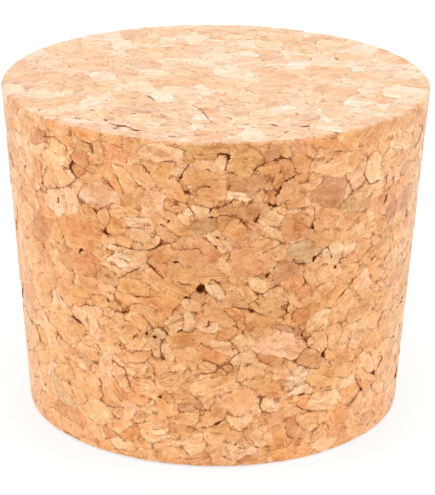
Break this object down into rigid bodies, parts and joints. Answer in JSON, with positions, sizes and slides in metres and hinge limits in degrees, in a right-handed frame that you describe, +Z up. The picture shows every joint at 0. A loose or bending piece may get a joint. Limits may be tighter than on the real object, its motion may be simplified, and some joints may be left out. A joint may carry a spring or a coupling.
{
  "type": "cork stopper",
  "caption": "Round tapered stopper of agglomerated cork granules, wider at the top, that wedges by hand into the neck of a bottle, jar or flask.",
  "frame": {"origin": "centre of the narrow bottom face, on which the stopper stands", "axes": "+Z up the axis of the taper, from the narrow end to the wide end; X and Y are equivalent"},
  "size_m": [0.038, 0.038, 0.03],
  "materials": {
    "cork": "matte agglomerated cork, tan granules with fine dark joints and small voids"
  },
  "bodies": {
    "root": {"cork_stopper": "cork"}
  },
  "joints": []
}
